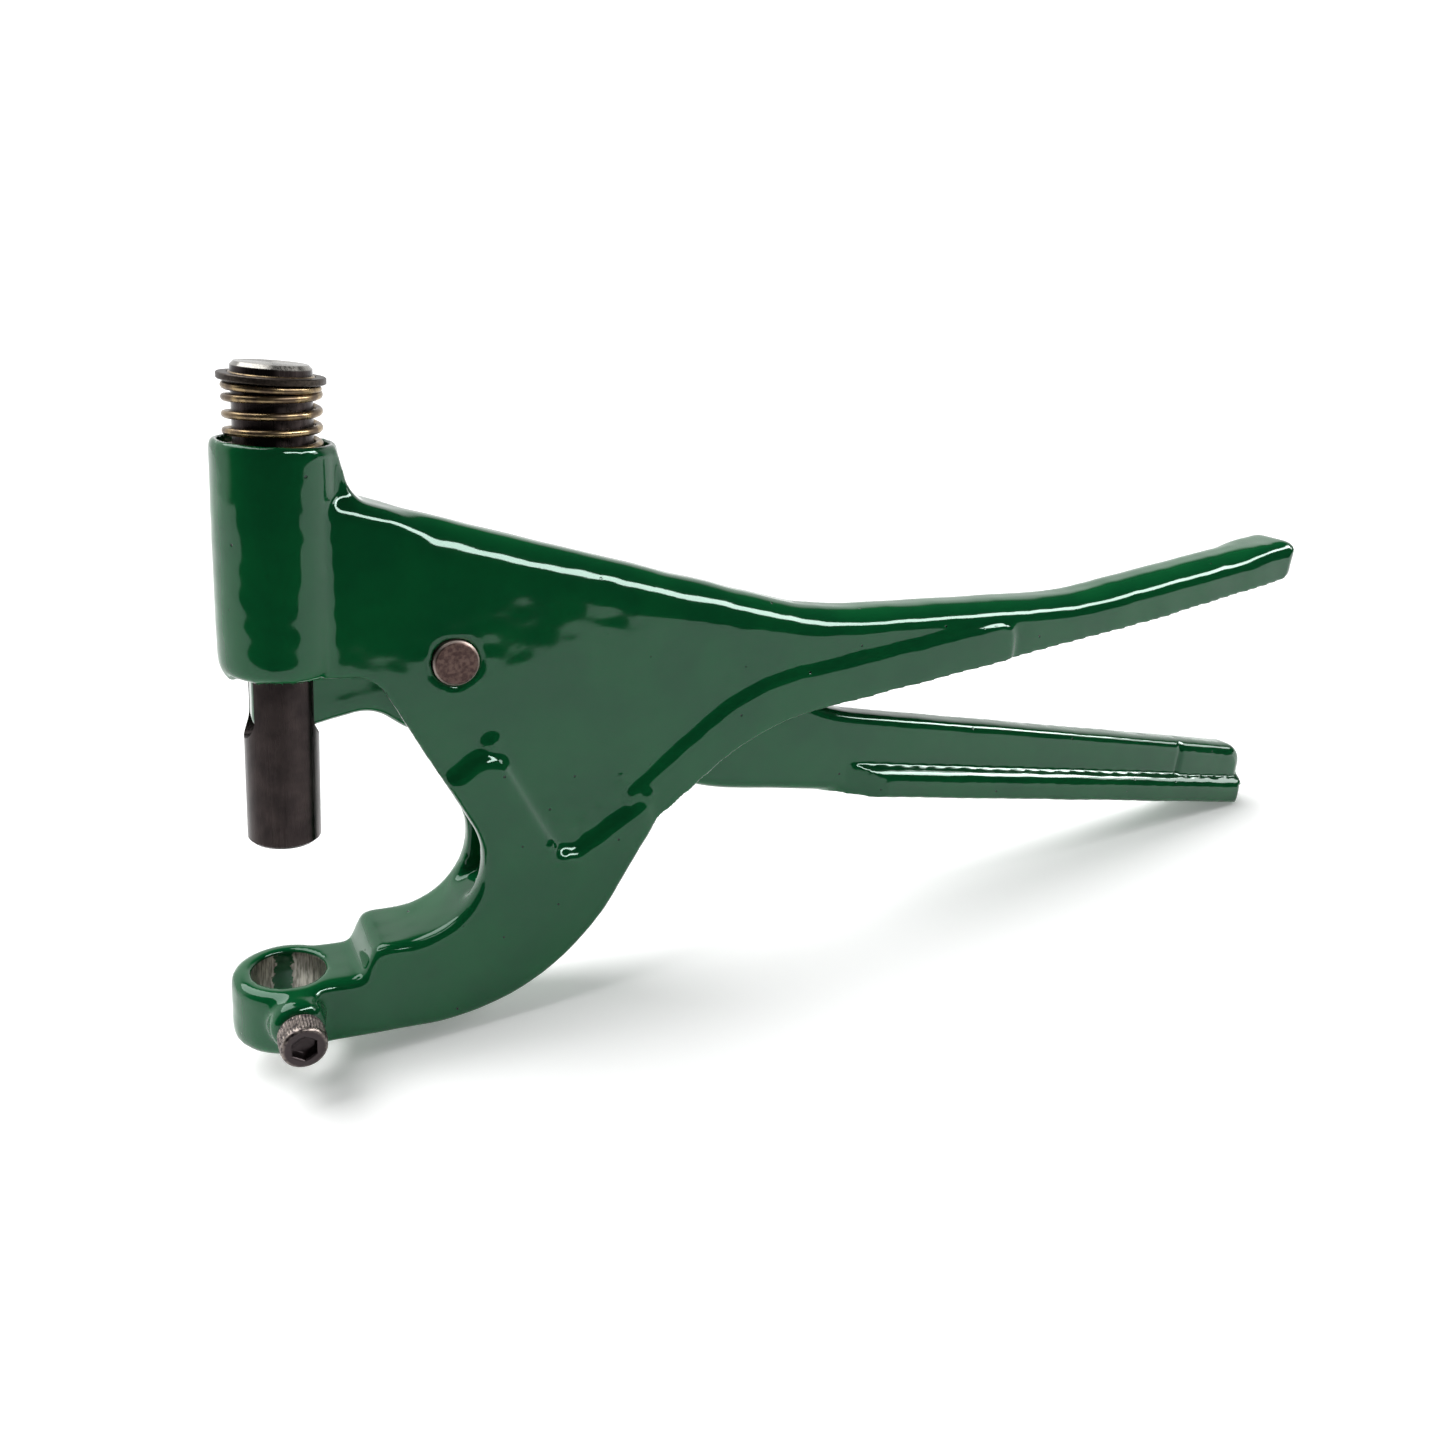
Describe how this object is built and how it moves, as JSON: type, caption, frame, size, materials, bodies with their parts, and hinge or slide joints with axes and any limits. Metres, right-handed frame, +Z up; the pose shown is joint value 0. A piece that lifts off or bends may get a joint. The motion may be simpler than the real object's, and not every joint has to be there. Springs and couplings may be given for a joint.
{
  "type": "snap setting press",
  "caption": "Hand plier press for snap fasteners: cast frame with anvil ring, sprung ram in a guide tube, squeeze lever on a pivot pin and a die clamp screw.",
  "frame": {"origin": "on the die bore's axis, at the anvil ring's top face", "axes": "+Z up along the ram's axis, +X from the ram towards the handles, +Y across the tool, away from the clamp screw's head"},
  "size_m": [0.3022, 0.0357, 0.147],
  "materials": {
    "green_enamel": "thick glossy enamel over rough casting",
    "pin_steel": "turned, browned",
    "blackened_steel": "ground and blackened",
    "black_oxide_steel": "black oxide",
    "spring_steel": "oil-tempered wire",
    "washer_steel": "plain, oiled"
  },
  "bodies": {
    "frame": {"frame_casting": "green_enamel", "pivot_pin": "pin_steel"},
    "lever": {"squeeze_lever": "green_enamel"},
    "ram": {"ram": "blackened_steel", "ram_grub_screw": "black_oxide_steel", "spring_washer": "washer_steel", "snap_ring": "spring_steel", "return_spring": "spring_steel"},
    "clamp_screw": {"die_clamp_screw": "black_oxide_steel"}
  },
  "joints": [
    {"name": "lever_pivot", "type": "hinge", "parent": "frame", "child": "lever", "pos_m": [0.0345, 0, 0.0729], "axis": [0, -1, 0], "range_deg": [0, 11]},
    {"name": "ram_slide", "type": "slide", "parent": "frame", "child": "ram", "axis": [0, 0, -1], "range_m": [0, 0.0066], "stiffness_N_per_m": 1500, "springref_m": -0.004, "deforming": ["return_spring"]},
    {"name": "clamp_screw_turn", "type": "hinge", "parent": "frame", "child": "clamp_screw", "pos_m": [0, -0.0175, -0.0061], "axis": [0, -1, 0], "range_deg": [-90, 360]}
  ],
  "couplings": [
    {"joint": "ram_slide", "follows": "lever_pivot", "m_per_rad": 0.034}
  ]
}
